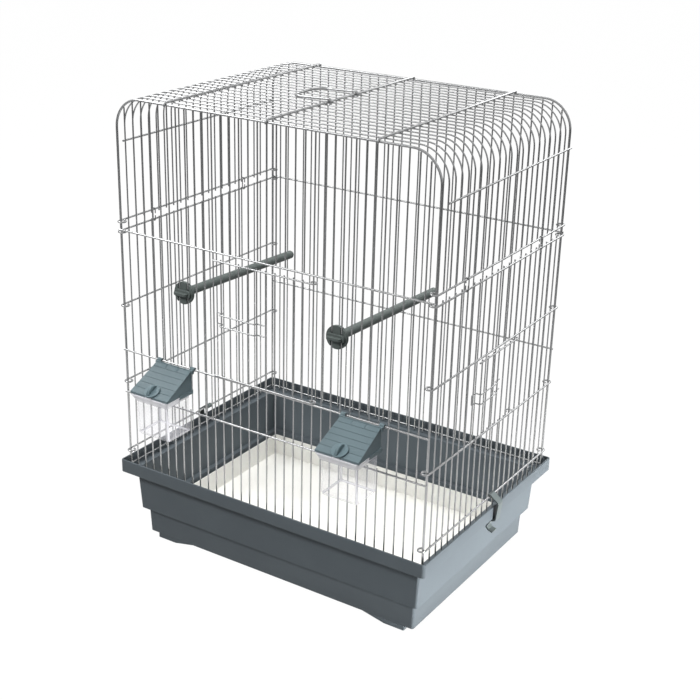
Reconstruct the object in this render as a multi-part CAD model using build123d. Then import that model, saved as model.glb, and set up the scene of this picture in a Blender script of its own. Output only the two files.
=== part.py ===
from build123d import *
import os
from math import acos, asin, atan2, degrees, radians, sin, sqrt

os.makedirs("parts", exist_ok=True)

# Frame: millimetres, x to the right, y to the back, z up, drawn from the floor under the tray's centre;
# save moves every piece back so that the origin is under the middle of the whole, feeders included

# Wire thicknesses
hoop_d = 3.2
rail_d = 2.6
wire_d = 2.0
door_bar_d = 2.2
latch_d = 1.8
roof_bar_d = 3.0
handle_d = 3.4
ring_d = 1.6

# Clearances between pieces that move past each other
free_gap = 0.3
turn_gap = 0.2

# Cage walls: the hoops' centre lines lie inside the tray's rim; heights of the rails
hoop_inset_x = 9.9
hoop_inset_y = 11.9
roof_z = 658.0
hoop_corner = 40.0
bays_wide = 34
bays_deep = 22
bottom_rail_rise = 5.5
front_mid_z = 477.2
front_second_z = 301.5
front_third_z = 237.0
back_mid_z = 477.2
back_second_z = 303.5
side_top_drop = 62.0
pair_upper_z = 488.5
pair_lower_z = 474.2
side_third_z = 367.5
side_fourth_z = 253.0
side_fifth_z = 143.5
eye_radius = 5.0
eye_turn = 265.0
wire_past_rail = 2.0
joint_past_rail = 3.0

# Base tray: both tiers of wall are stepped in from the rim
rim_half_x = 255.0
rim_half_y = 187.0
rim_radius = 4.5
rim_low_z = 110.0
rim_height = 19.5
rim_top_round = 1.1
rim_low_round = 0.9
ledge_rise = 4.0
upper_inset_x = 16.0
upper_inset_y = 17.0
upper_draft_x = 3.5
upper_draft_y = 3.0
step_z = 47.7
step_inset = 7.5
lower_draft = 1.5
tier_radius = 3.5
tray_wall = 2.4
foot_height = 8.0
foot_inset_x = 14.5
foot_inset_y = 1.0
foot_length = 31.0
foot_slope = 42.0
foot_depth = 45.0
foot_root = 1.0

# Floor liner
liner_gap = 1.8
liner_height = 34.6
liner_wall = 1.2

# Base clips: the strip's centre line, outward and upward from the rim's upper or lower outer edge
clip_thick = 2.0
clip_width = 12.6
clip_hook_turn = 130.0
clip_elbow_past_top = (6.9, 6.5)
clip_heel_past_low = (3.6, -1.0)
clip_nose_past_low = (-3.4, -2.8)
clip_bend_past_low = (-9.1, -13.8)
clip_tab_past_low = (-5.6, -18.2)
clip_tip_past_low = (1.2, -20.2)
clip_rounds = [3.0, 2.0, 2.5, 1.6, 2.0]

# Joining clips and roof bars
ring_offset_bays = 6.5
roof_bar_x = 160.0
roof_hook_turn = 115.0

# Carry handle: eyes lie between roof wires
handle_front_bay = 8.5
handle_back_bay = 12.5
handle_reach = 62.0
handle_corner = 20.0
handle_eye_turn = 250.0

# Front door
front_jamb = 11
front_hinge = 22
front_door_top_z = 466.5
front_bar_gap = 3.0
front_latch_high_z = 392.0
front_latch_low_z = 376.5
front_latch_post = 16

# Right door
right_jamb = 7
right_hinge = 14
right_door_top_z = 362.5
right_bar_gap = 5.7
right_latch_high_z = 316.0
right_latch_low_z = 302.0
right_latch_post = 11

# Doors in general
hinge_turn = 255.0
latch_inside = 6.0
latch_hook = 9.6
latch_tail = 12.6
latch_bend = 1.5

# Feeders, measured from the rail that carries them
feeder_first_bay = 5
feeder_last_bay = 8
lid_back_width = 60.4
lid_front_width = 65.0
lid_back = 4.6
lid_front = 59.6
lid_top = 0.6
lid_front_drop = 26.0
lid_drop = 29.0
lid_wall = 1.8
lid_hook_width = 7.0
lid_hook_wall = 1.8
groove_width = 1.0
groove_depth = 0.5
groove_pitch = 10.2
groove_count = 5
channel_end = 33.0
channel_wall = 1.5
lip_overlap = 2.0
flange_thick = 1.6
flange_reach = 2.4
flange_corner = 4.0
cup_back = 5.2
cup_front_top = 57.0
cup_front_low = 53.0
cup_half_low = 28.2
cup_drop = 91.5
cup_wall = 1.6
cup_corner = 6.0
cup_floor_round = 5.5
cup_back_wall_drop = 48.0
cup_lip_drop = 10.0
cup_lip_step = 0.8
catch_width = 10.0
catch_rise = 1.5
knob_d = 23.0
knob_thick = 2.2
knob_round = 0.7
knob_shaft_d = 5.6
knob_along = 0.86
fin_length = 20.0
fin_thick = 4.4
fin_height = 6.2
fin_round = 0.8
cam_d = 10.0

# Perches
perch_d = 12.0
perch_length = 250.0
perch_disc_d = 31.0
perch_disc_back = 4.0
perch_disc_front = 1.3
perch_groove = 0.5
perch_droop_angle = 2.5
perch_tip_round = 4.5
perch_disc_round = 1.2
left_perch_bay = 7
left_perch_z = 408.6
right_perch_bay = 24
right_perch_z = 402.8
wing_length = 27.0
wing_width = 10.4
wing_thick = 3.0
wing_fin_length = 21.0
wing_fin_thick = 3.6
wing_fin_height = 5.6
wing_fin_round = 3.0
wing_round = 0.9
wing_shaft_d = 5.8
wing_shaft_depth = 7.5

# Values that follow from the sizes above
rim_high_z = rim_low_z + rim_height
ledge_z = rim_low_z + ledge_rise
upper_top_half = (rim_half_x - upper_inset_x, rim_half_y - upper_inset_y)
upper_low_half = (upper_top_half[0] - upper_draft_x, upper_top_half[1] - upper_draft_y)
lower_top_half = (upper_low_half[0] - step_inset, upper_low_half[1] - step_inset)
lower_low_half = (lower_top_half[0] - lower_draft, lower_top_half[1] - lower_draft)
hoop_half_x = rim_half_x - hoop_inset_x
hoop_half_y = rim_half_y - hoop_inset_y
bottom_rail_z = ledge_z + bottom_rail_rise
pitch_x = 2 * hoop_half_x / bays_wide
pitch_y = 2 * hoop_half_y / bays_deep
wall_x = hoop_half_x + hoop_d / 2 - wire_d / 2
wall_y = hoop_half_y + hoop_d / 2 - wire_d / 2
rail_x = hoop_half_x + hoop_d / 2 + rail_d / 2
rail_y = hoop_half_y + hoop_d / 2 + rail_d / 2
door_out = wire_d + free_gap
door_x = wall_x + door_out
door_y = wall_y + door_out
door_bar_out = wire_d / 2 + door_bar_d / 2
latch_out = wire_d / 2 + latch_d / 2 + free_gap
roof_bar_z = roof_z + hoop_d / 2 + roof_bar_d / 2
side_top_z = roof_z - side_top_drop
flange_front = lid_front + free_gap + channel_wall
slope_run = lid_front - lid_back
slope_drop = lid_top + lid_front_drop
slope_length = sqrt(slope_run ** 2 + slope_drop ** 2)
knob_front = lid_back + knob_along * slope_run + knob_round + (
    (knob_d / 2 - knob_round) * slope_run + (free_gap + knob_thick - knob_round) * slope_drop) / slope_length
origin_shift_y = (rail_y + max(flange_front, knob_front) - rim_half_y) / 2
bolt = Align.CENTER, Align.CENTER, Align.MIN


def bay_x(number):
    return -hoop_half_x + number * pitch_x


def bay_y(number):
    return -hoop_half_y + number * pitch_y


def straight_wire(start, end, diameter):
    run = Vector(*end) - Vector(*start)
    return extrude(Plane(origin=start, z_dir=run) * Circle(diameter / 2), amount=run.length)


def bent_wire(edges, diameter):
    path = Wire(edges, sequenced=True)
    start = Plane(origin=path @ 0, z_dir=path % 0)
    return sweep(start * Circle(diameter / 2), path=path)


def save(name, *pieces):
    solids = [Pos(0, origin_shift_y, 0) * solid for piece in pieces for solid in piece.solids()]
    export_step(Compound(children=solids), "parts/" + name + ".step")


def mirrored(pieces):
    return [mirror(piece, about=Plane.YZ) for piece in pieces]


# Base tray: rim band over a ledge, two tiers of wall, floor and four corner feet
def tier(low_half, low_z, top_half, top_z, inset):
    low = RectangleRounded(2 * (low_half[0] - inset), 2 * (low_half[1] - inset), tier_radius - inset)
    top = RectangleRounded(2 * (top_half[0] - inset), 2 * (top_half[1] - inset), tier_radius - inset)
    return loft([Pos(0, 0, low_z) * low, Pos(0, 0, top_z) * top])


def rim_block(inset, low_z, high_z):
    outline = RectangleRounded(2 * (rim_half_x - inset), 2 * (rim_half_y - inset), rim_radius - inset)
    return Pos(0, 0, low_z) * extrude(outline, amount=high_z - low_z)


def base_tray():
    rim = rim_block(0, rim_low_z, rim_high_z)
    rim = fillet(rim.edges().group_by(Axis.Z)[-1], rim_top_round)
    rim = fillet(rim.edges().group_by(Axis.Z)[0], rim_low_round)
    body = rim + tier(upper_low_half, step_z, upper_top_half, rim_low_z, 0)
    body += tier(lower_low_half, foot_height, lower_top_half, step_z, 0)
    under = rim_block(tray_wall, rim_low_z, ledge_z - tray_wall)
    under -= Pos(0, 0, rim_low_z) * extrude(
        RectangleRounded(2 * upper_top_half[0], 2 * upper_top_half[1], tier_radius), amount=ledge_z)
    body -= under
    body -= rim_block(tray_wall, ledge_z, rim_high_z)
    body -= tier(upper_low_half, step_z + tray_wall, upper_top_half, ledge_z, tray_wall)
    body -= tier(lower_low_half, foot_height + tray_wall, lower_top_half, step_z + tray_wall, tray_wall)
    outer = lower_low_half[0] - foot_inset_x
    inner = outer - foot_length
    high = foot_height + foot_root
    side = Polyline((outer, 0), (inner, 0), (inner - foot_slope, high), (outer, high), close=True)
    foot = extrude(Plane.XZ * make_face(side), amount=-foot_depth)
    foot = Pos(0, foot_inset_y - lower_low_half[1], 0) * foot
    row = foot + mirror(foot, about=Plane.YZ)
    return body + row + mirror(row, about=Plane.XZ)


def floor_liner():
    floor_z = foot_height + tray_wall
    width, depth = (2 * (half - tray_wall - liner_gap) for half in lower_low_half)
    shape = RectangleRounded(width, depth, tier_radius)
    hollow = RectangleRounded(width - 2 * liner_wall, depth - 2 * liner_wall, tier_radius - liner_wall)
    sheet = Pos(0, 0, floor_z) * extrude(shape, amount=liner_height)
    return sheet - Pos(0, 0, floor_z + liner_wall) * extrude(hollow, amount=liner_height)


# Base clips: bent strips hooked on the fifth side rail and sprung under the rim
def past_rim(offset, edge_z):
    return rim_half_x + offset[0], edge_z + offset[1]


def right_base_clip():
    radius = rail_d / 2 + turn_gap + clip_thick / 2
    elbow = past_rim(clip_elbow_past_top, rim_high_z)
    lower = [past_rim(offset, rim_low_z) for offset in (
        clip_heel_past_low, clip_nose_past_low, clip_bend_past_low, clip_tab_past_low, clip_tip_past_low)]
    across = elbow[0] - rail_x
    down = elbow[1] - side_fifth_z
    leave = degrees(atan2(down, across) + acos(radius / sqrt(across ** 2 + down ** 2)))
    hook = CenterArc((rail_x, side_fifth_z), radius, leave, 360 - clip_hook_turn)
    strap = FilletPolyline(hook @ 0, elbow, *lower, radius=clip_rounds)
    strip = trace(hook.edges() + strap.edges(), line_width=clip_thick)
    middle = (bay_y(bays_deep // 2) + bay_y(bays_deep // 2 + 1)) / 2
    return Pos(0, middle, 0) * extrude(Plane.XZ * strip, amount=clip_width / 2, both=True)


# Hoops: the thick bent wires that the end walls hang in
def hoop(half, top, low, corner, y, diameter):
    path = FilletPolyline((-half, y, low), (-half, y, top), (half, y, top), (half, y, low), radius=corner)
    return bent_wire(path.edges(), diameter)


def end_hoop(y):
    return hoop(hoop_half_x, roof_z, ledge_z, hoop_corner, y, hoop_d)


# Uprights of the end walls reach up under the hoop, also in its rounded corners
def upright_top(x):
    inner = hoop_corner - hoop_d / 2
    past = max(0, abs(x) + wire_d / 2 - (hoop_half_x - hoop_corner))
    return roof_z - hoop_corner + sqrt(inner ** 2 - past ** 2)


def upright(x, y, breaks):
    ends = [ledge_z, *breaks, upright_top(x)]
    return [straight_wire((x, y, ends[k]), (x, y, ends[k + 1]), wire_d) for k in range(0, len(ends), 2)]


def front_uprights():
    wires = []
    for bay in range(1, bays_wide):
        breaks = []
        if feeder_first_bay <= min(bay, bays_wide - bay) <= feeder_last_bay:
            breaks = [front_third_z + wire_past_rail, front_second_z - wire_past_rail]
        if front_jamb < bay < front_hinge:
            breaks = [front_second_z + wire_past_rail, front_mid_z - wire_past_rail]
        wires += upright(bay_x(bay), -wall_y, breaks)
    return wires


def back_uprights():
    return [wire for bay in range(1, bays_wide) for wire in upright(bay_x(bay), wall_y, [])]


# Cross wires of the end walls lie outside the uprights
def cross_wires(y, heights):
    end = hoop_half_x + hoop_d / 2
    return [straight_wire((-end, y, z), (end, y, z), rail_d) for z in heights]


# Roof wires: one piece each, over the roof and down both sides
def roof_wires():
    rise = hoop_d / 2 - wire_d / 2
    return [hoop(wall_x, roof_z + rise, pair_upper_z - joint_past_rail, hoop_corner + rise, bay_y(bay), wire_d)
            for bay in range(1, bays_deep)]


# Side rails: most of them end in eyes closed round the hoop legs
def eyed_rail(z):
    front = JernArc((rail_x, -hoop_half_y, z), (0, -1, 0), eye_radius, -eye_turn)
    back = JernArc((rail_x, hoop_half_y, z), (0, 1, 0), eye_radius, eye_turn)
    run = Line((rail_x, -hoop_half_y, z), (rail_x, hoop_half_y, z))
    return bent_wire(front.edges() + run.edges() + back.edges(), rail_d)


def plain_rail(z, front_y, back_y):
    return straight_wire((rail_x, front_y, z), (rail_x, back_y, z), rail_d)


def upper_rails():
    top = plain_rail(side_top_z, bay_y(1) - wire_past_rail, hoop_half_y + hoop_d / 2)
    return [top, eyed_rail(pair_upper_z)]


def lower_rails():
    eyed = [eyed_rail(z) for z in (pair_lower_z, side_third_z, side_fourth_z, side_fifth_z)]
    return eyed + [plain_rail(bottom_rail_z, -hoop_half_y, hoop_half_y)]


def lower_side_wires(with_door):
    top = pair_lower_z + joint_past_rail
    wires = []
    for bay in range(1, bays_deep):
        ends = [ledge_z, top]
        if with_door and right_jamb < bay < right_hinge:
            ends = [ledge_z, side_fourth_z + wire_past_rail, side_third_z - wire_past_rail, top]
        wires += [straight_wire((wall_x, bay_y(bay), ends[k]), (wall_x, bay_y(bay), ends[k + 1]), wire_d)
                  for k in range(0, len(ends), 2)]
    return wires


# Joining clips: rings closed round the paired side rails, between two wires
def joining_clips():
    reach = rail_d / 2 + ring_d / 2
    low = pair_lower_z - reach
    high = pair_upper_z + reach
    middle = (low + high) / 2
    rings = []
    for y in (bay_y(bays_deep / 2 - ring_offset_bays), bay_y(bays_deep / 2 + ring_offset_bays)):
        path = FilletPolyline((rail_x - reach, y, middle - ring_d), (rail_x - reach, y, low),
                              (rail_x + reach, y, low), (rail_x + reach, y, high),
                              (rail_x - reach, y, high), (rail_x - reach, y, middle + ring_d),
                              radius=0.96 * reach)
        rings.append(bent_wire(path.edges(), ring_d))
    return rings


# Roof bars: straight over the roof wires, hooked round both hoops
def roof_bar(x):
    radius = hoop_d / 2 + roof_bar_d / 2
    front = JernArc((-hoop_half_y, roof_bar_z), (-1, 0), radius, roof_hook_turn)
    back = JernArc((hoop_half_y, roof_bar_z), (1, 0), radius, -roof_hook_turn)
    run = Line((-hoop_half_y, roof_bar_z), (hoop_half_y, roof_bar_z))
    path = Plane((x, 0, 0), x_dir=(0, 1, 0), z_dir=(1, 0, 0)) * (front + run + back)
    return bent_wire(path.edges(), roof_bar_d)


# Carry handle: a bail that swings on the middle roof bar, folded to the left
def carry_handle():
    radius = roof_bar_d / 2 + handle_d / 2 + free_gap
    front_y = bay_y(handle_front_bay)
    back_y = bay_y(handle_back_bay)
    bail = FilletPolyline((0, front_y, radius), (-handle_reach, front_y, radius),
                          (-handle_reach, back_y, radius), (0, back_y, radius), radius=handle_corner)
    start_eye = CenterArc((0, 0), radius, 90 - handle_eye_turn, handle_eye_turn)
    end_eye = CenterArc((0, 0), radius, 90, -handle_eye_turn)
    start_eye = Plane((0, front_y, 0), x_dir=(1, 0, 0), z_dir=(0, -1, 0)) * start_eye
    end_eye = Plane((0, back_y, 0), x_dir=(1, 0, 0), z_dir=(0, -1, 0)) * end_eye
    wire = bent_wire(start_eye.edges() + bail.edges() + end_eye.edges(), handle_d)
    rest = handle_d / 2 + free_gap - roof_bar_d / 2
    fold = degrees(asin((radius - rest) / handle_reach))
    return Pos(0, 0, roof_bar_z) * Rot(0, -fold, 0) * wire


# Doors: drawn flat, along is the way from hinge to latch, out is away from the cage
def door_bar(start, hinge, out, z):
    radius = door_out + door_bar_out
    run = Line((start, out), (hinge, out))
    loop = JernArc((hinge, out), (1, 0), radius, hinge_turn)
    return bent_wire((Pos(0, 0, z) * (run + loop)).edges(), door_bar_d)


def latch_wire(edge, post, out, high_z, low_z):
    outer = out - latch_out
    inner = out + wire_d / 2 + latch_d / 2 + free_gap
    leg = edge - wire_d / 2 - latch_d / 2 - free_gap
    heel = post - wire_d / 2 - latch_d / 2 - free_gap
    arm = [(heel + latch_tail, inner), (heel, inner), (heel, outer), (leg, outer),
           (leg, out + latch_inside), (leg - latch_hook, out + latch_inside)]
    points = [(*point, high_z) for point in arm] + [(*point, low_z) for point in reversed(arm)]
    path = FilletPolyline(*points, radius=latch_bend)
    return bent_wire(path.edges(), latch_d)


def front_door():
    low = front_second_z + rail_d / 2 + free_gap
    low_bar_z = low + door_bar_d / 2
    wires = [straight_wire((bay_x(bay), -door_y, low), (bay_x(bay), -door_y, front_door_top_z + wire_past_rail),
                           wire_d) for bay in range(front_jamb + 1, front_hinge)]
    bars = [door_bar(bay_x(front_jamb) + front_bar_gap, bay_x(front_hinge), -door_y - door_bar_out, z)
            for z in (front_door_top_z, low_bar_z)]
    latch = latch_wire(bay_x(front_jamb + 1), bay_x(front_latch_post), -door_y,
                       front_latch_high_z, front_latch_low_z)
    return wires, bars, latch


def right_door():
    low = side_fourth_z + rail_d / 2 + free_gap
    low_bar_z = low + door_bar_d / 2
    turn = Rot(0, 0, 90)
    wires = [straight_wire((door_x, bay_y(bay), low), (door_x, bay_y(bay), right_door_top_z + wire_past_rail),
                           wire_d) for bay in range(right_jamb + 1, right_hinge)]
    bars = [turn * door_bar(bay_y(right_jamb) + right_bar_gap, bay_y(right_hinge), -door_x - door_bar_out, z)
            for z in (right_door_top_z, low_bar_z)]
    latch = turn * latch_wire(bay_y(right_jamb + 1), bay_y(right_latch_post), -door_x,
                              right_latch_high_z, right_latch_low_z)
    return wires, bars, latch


# Feeders: drawn round the rail that carries them, outward is minus y
lid_normal = (0, -slope_drop / slope_length, slope_run / slope_length)
channel_half = lid_back_width / 2 + flange_reach + channel_wall - lid_wall
flange_half = channel_half - channel_wall - free_gap
lid_low = -lid_drop
cup_low = -cup_drop
flange_top = lid_low - free_gap
lip_top = flange_top - flange_thick - free_gap
cup_half_top = flange_half - flange_reach
knob_point = (0, -lid_back - knob_along * slope_run, lid_top - knob_along * slope_drop)
knob_plane = Plane(origin=knob_point, x_dir=(1, 0, 0), z_dir=lid_normal)


def block(x0, x1, y0, y1, z0, z1):
    return Pos((x0 + x1) / 2, (y0 + y1) / 2, (z0 + z1) / 2) * Box(x1 - x0, y1 - y0, z1 - z0)


def side_prism(points, inset):
    widening = (lid_front_width - lid_back_width) / 2 / slope_run

    def half(y):
        return lid_back_width / 2 - (y + lid_back) * widening - inset

    back = max(y for y, z in points)
    front = min(y for y, z in points)
    profile = make_face(Polyline(*points, close=True))
    wedge = extrude(Plane.YZ * profile, amount=lid_front_width, both=True)
    plan = make_face(Polyline((-half(back), back), (half(back), back), (half(front), front),
                              (-half(front), front), close=True))
    return wedge & extrude(plan, amount=lid_front_width, both=True)


def feeder_lid():
    outer = side_prism([(-lid_back, lid_top), (-lid_front, -lid_front_drop), (-lid_front, lid_low),
                        (-lid_back, lid_low)], 0)
    skin = lid_wall * slope_length / slope_run
    beyond = 5.0
    rise = beyond * slope_drop / slope_run
    inside = lid_front - lid_wall
    inside_z = lid_top - skin - (inside - lid_back) * slope_drop / slope_run
    inner = side_prism([(beyond - lid_back, lid_top - skin + rise), (-inside, inside_z),
                        (-inside, lid_low - beyond), (beyond - lid_back, lid_low - beyond)], lid_wall)
    lid = outer - inner
    half = lid_back_width / 2
    for side in (1, -1):
        wall = block(channel_half - channel_wall, channel_half, -channel_end, -lid_back,
                     lip_top - channel_wall, lid_low + channel_wall)
        roof = block(half - lid_wall, channel_half, -channel_end, -lid_back, lid_low, lid_low + channel_wall)
        lip = block(channel_half - channel_wall - lip_overlap, channel_half, -channel_end, -lid_back,
                    lip_top - channel_wall, lip_top)
        channel = wall + roof + lip
        lid += channel if side > 0 else mirror(channel, about=Plane.YZ)
    inner_radius = rail_d / 2 + turn_gap
    ring = Circle(inner_radius + lid_hook_wall) - Circle(inner_radius)
    ring -= Pos(0, -inner_radius - lid_hook_wall) * Rectangle(2 * inner_radius, 2 * lid_hook_wall + inner_radius)
    hook = extrude(Plane.YZ * ring, amount=lid_hook_width / 2, both=True)
    reach = (feeder_last_bay - feeder_first_bay + 1) * pitch_x / 2
    for side in (-1, 1):
        lid += Pos(side * reach, 0, 0) * hook
        lid += block(side * reach - lid_hook_width / 2, side * reach + lid_hook_width / 2,
                     -lid_back - lid_wall, -inner_radius - lid_hook_wall / 2, lid_top - 3 * lid_wall, lid_top)
    lid += block(-reach - lid_hook_width / 2, reach + lid_hook_width / 2, -lid_back - lid_wall, -lid_back,
                 lid_top - 3 * lid_wall, lid_top)
    slope = Plane(origin=(0, -lid_back, lid_top), x_dir=(1, 0, 0), z_dir=lid_normal)
    for line in range(1, groove_count + 1):
        lid -= slope * Pos(0, -line * groove_pitch, 0) * Box(lid_front_width, groove_width, 2 * groove_depth)
    for side in (-1, 1):
        lid -= slope * Pos(side * lid_back_width / 6, -groove_pitch / 2, 0) * Box(groove_width, groove_pitch,
                                                                                   2 * groove_depth)
    return lid - knob_plane * Cylinder(knob_shaft_d / 2 + free_gap, 6 * lid_wall)


def cup_outline(z, inset):
    share = (z - cup_low) / (flange_top - cup_low)
    half = cup_half_low + share * (cup_half_top - cup_half_low) - inset
    front = cup_front_low + share * (cup_front_top - cup_front_low) - inset
    back = cup_back + inset
    return Pos(0, -(front + back) / 2, z) * RectangleRounded(2 * half, front - back, cup_corner - inset)


def cup_solid(inset):
    low = cup_low + inset
    cup = loft([cup_outline(low, inset), cup_outline(flange_top, inset)])
    return fillet(cup.edges().group_by(Axis.Z)[0], cup_floor_round - inset)


# The cup's flared lip stands clear of the channels and lines up with the lid's front edge
def cup_lip(inset):
    half = lid_front_width / 2 - inset
    depth = flange_front - inset - cup_back
    rim = Pos(0, -cup_back - depth / 2, flange_top) * RectangleRounded(2 * half, depth, flange_corner)
    flare = loft([cup_outline(flange_top - cup_lip_drop, inset - cup_lip_step), rim])
    behind = channel_end + 2 * free_gap + inset
    return flare - block(-lid_front_width, lid_front_width, -behind, 0, cup_low, 0)


def feeder_cup():
    plate = block(-flange_half, flange_half, -flange_front, -cup_back, flange_top - flange_thick, flange_top)
    plate = fillet(plate.edges().filter_by(Axis.Z).group_by(Axis.Y)[0], flange_corner)
    catch = block(-catch_width / 2, catch_width / 2, -flange_front, -lid_front - free_gap,
                  flange_top - flange_thick, flange_top + catch_rise)
    cup = cup_solid(0) + plate + cup_lip(0) + catch
    cup -= cup_solid(cup_wall) + cup_lip(cup_wall)
    mouth = cup_half_low - cup_corner
    return cup - block(-mouth, mouth, -cup_back - 2 * cup_wall, 0, -cup_back_wall_drop, 0)


def feeder_knob():
    disc = Pos(0, 0, free_gap) * Cylinder(knob_d / 2, knob_thick, align=bolt)
    disc = fillet(disc.edges().group_by(Axis.Z)[-1], knob_round)
    arch = ThreePointArc((-fin_length / 2, 0), (0, fin_height), (fin_length / 2, 0))
    leaf = make_face(arch + Line(arch @ 1, arch @ 0))
    fin = extrude(Plane.YZ * leaf, amount=fin_thick / 2, both=True)
    fin = Pos(0, 0, free_gap + knob_thick) * fillet(fin.edges().filter_by(GeomType.CIRCLE), fin_round)
    below = lid_wall + free_gap
    shaft = Pos(0, 0, -below) * Cylinder(knob_shaft_d / 2, below + free_gap, align=bolt)
    cam = Pos(0, 0, -below - lid_wall) * Cylinder(cam_d / 2, lid_wall, align=bolt)
    return knob_plane * (disc + fin + shaft + cam)


# Perches: rod and grooved disc inside the wires, locking wing outside
def round_y(radius, start, end):
    return Pos(0, start, 0) * Rot(-90, 0, 0) * Cylinder(radius, end - start, align=bolt)


def perch():
    tilt_room = perch_disc_d / 2 * sin(radians(perch_droop_angle))
    rod = round_y(perch_d / 2, 0, perch_length)
    rod = fillet(rod.edges().group_by(Axis.Y)[-1], perch_tip_round)
    disc = round_y(perch_disc_d / 2, -perch_disc_front, perch_disc_back)
    disc = fillet(disc.edges().group_by(Axis.Y)[-1], perch_disc_round)
    body = rod + disc
    deep = wire_d / 2 + tilt_room + turn_gap
    groove_half = wire_d / 2 + perch_groove
    ahead = -2 * perch_disc_front
    for wire_x in (-pitch_x / 2, pitch_x / 2):
        body -= block(wire_x - groove_half, wire_x + groove_half, ahead, deep, -perch_disc_d, perch_disc_d)
    return body - round_y(wing_shaft_d / 2 + turn_gap, ahead, wing_shaft_depth + free_gap)


def perch_wing():
    back = -wire_d / 2 - perch_disc_d / 2 * sin(radians(perch_droop_angle)) - free_gap
    plate = Pos(0, back, 0) * extrude(Plane.XZ * SlotOverall(wing_length, wing_width), amount=wing_thick)
    plate = fillet(plate.edges().group_by(Axis.Y)[0], wing_round)
    fin = block(-wing_fin_length / 2, wing_fin_length / 2, back - wing_thick - wing_fin_height, back - wing_thick,
                -wing_fin_thick / 2, wing_fin_thick / 2)
    fin = fillet(fin.edges().filter_by(Axis.Z).group_by(Axis.Y)[0], wing_fin_round)
    return plate + fin + round_y(wing_shaft_d / 2, back, wing_shaft_depth)


def place_perch(bay, z):
    return Location((bay_x(bay + 0.5), -wall_y, z), (-perch_droop_angle, 0, 0))


# Hand the pieces over, one file for each node
save("base_tray", base_tray())
save("floor_liner", floor_liner())
clip = right_base_clip()
save("right_base_clip", clip)
save("left_base_clip", *mirrored([clip]))
save("front_hoop", end_hoop(-hoop_half_y))
save("back_hoop", end_hoop(hoop_half_y))
save("front_upright_wires", *front_uprights())
save("back_upright_wires", *back_uprights())
save("front_cross_wires", *cross_wires(-rail_y, (bottom_rail_z, front_third_z, front_second_z, front_mid_z)))
save("back_cross_wires", *cross_wires(rail_y, (bottom_rail_z, back_second_z, back_mid_z)))
save("roof_hoop_wires", *roof_wires())
save("upper_right_rails", *upper_rails())
save("upper_left_rails", *mirrored(upper_rails()))
save("right_side_rails", *lower_rails())
save("left_side_rails", *mirrored(lower_rails()))
save("right_side_wires", *lower_side_wires(True))
save("left_side_wires", *mirrored(lower_side_wires(False)))
save("right_joining_clips", *joining_clips())
save("left_joining_clips", *mirrored(joining_clips()))
save("roof_bar_left", roof_bar(-roof_bar_x))
save("roof_bar_middle", roof_bar(0))
save("roof_bar_right", roof_bar(roof_bar_x))
save("carry_handle", carry_handle())
for name, (wires, bars, latch) in (("front", front_door()), ("right", right_door())):
    save(name + "_door_wires", *wires)
    save(name + "_door_bars", *bars)
    save(name + "_door_latch", latch)
feeder_x = (bay_x(feeder_first_bay) + bay_x(feeder_last_bay)) / 2
lid = feeder_lid()
cup = feeder_cup()
knob = feeder_knob()
for name, x in (("left", feeder_x), ("right", -feeder_x)):
    hung = Pos(x, -rail_y, front_second_z)
    save(name + "_feeder_lid", hung * lid)
    save(name + "_feeder_cup", hung * cup)
    save(name + "_feeder_knob", hung * knob)
for name, bay, z in (("left", left_perch_bay, left_perch_z), ("right", right_perch_bay, right_perch_z)):
    seat = place_perch(bay, z)
    save(name + "_perch", seat * perch())
    save(name + "_perch_wing", seat * perch_wing())
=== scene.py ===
from math import asin, cos, radians, sin, sqrt

import bmesh
import bpy
from mathutils import Matrix, Vector


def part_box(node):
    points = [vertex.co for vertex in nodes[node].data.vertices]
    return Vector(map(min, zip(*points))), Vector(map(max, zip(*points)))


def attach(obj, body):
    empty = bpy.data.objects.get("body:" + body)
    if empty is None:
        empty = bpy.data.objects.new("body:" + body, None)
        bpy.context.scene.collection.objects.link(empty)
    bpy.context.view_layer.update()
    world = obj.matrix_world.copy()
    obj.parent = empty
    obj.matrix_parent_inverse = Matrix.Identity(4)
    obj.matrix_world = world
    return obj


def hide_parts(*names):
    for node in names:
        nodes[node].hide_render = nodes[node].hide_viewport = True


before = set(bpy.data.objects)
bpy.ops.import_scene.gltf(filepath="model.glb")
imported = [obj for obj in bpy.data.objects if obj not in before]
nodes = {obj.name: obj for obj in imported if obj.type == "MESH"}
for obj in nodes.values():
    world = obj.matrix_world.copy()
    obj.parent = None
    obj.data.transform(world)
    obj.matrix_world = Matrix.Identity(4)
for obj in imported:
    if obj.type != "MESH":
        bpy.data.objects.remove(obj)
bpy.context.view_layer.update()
scene = bpy.context.scene

# Studio: a white sweep under a large soft lamp behind and above, a smaller one in front, and long strips
# that draw the bright lines along the rails and light the right end. The lens puts every hoop and rail
# where the photo has it.
tray_low, tray_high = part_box("base_tray")
tray_middle_y = (tray_low.y + tray_high.y) / 2

lens = bpy.data.cameras.new("photo_camera")
lens.sensor_width = 36.0
lens.lens = 68.13
lens.shift_x = 0.0262
lens.shift_y = 0.0031
lens.clip_end = 20.0
camera = bpy.data.objects.new("photo_camera", lens)
turn = Matrix.Rotation(radians(33.154), 3, "Z") @ Matrix.Rotation(radians(67.587), 3, "X")
turn = turn @ Matrix.Rotation(radians(1.18), 3, "Z")
camera.rotation_euler = turn.to_euler()
camera.location = (0.9412, -1.4621 + tray_middle_y, 1.0147)
scene.collection.objects.link(camera)
scene.camera = camera
scene.view_settings.view_transform = "Standard"


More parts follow.
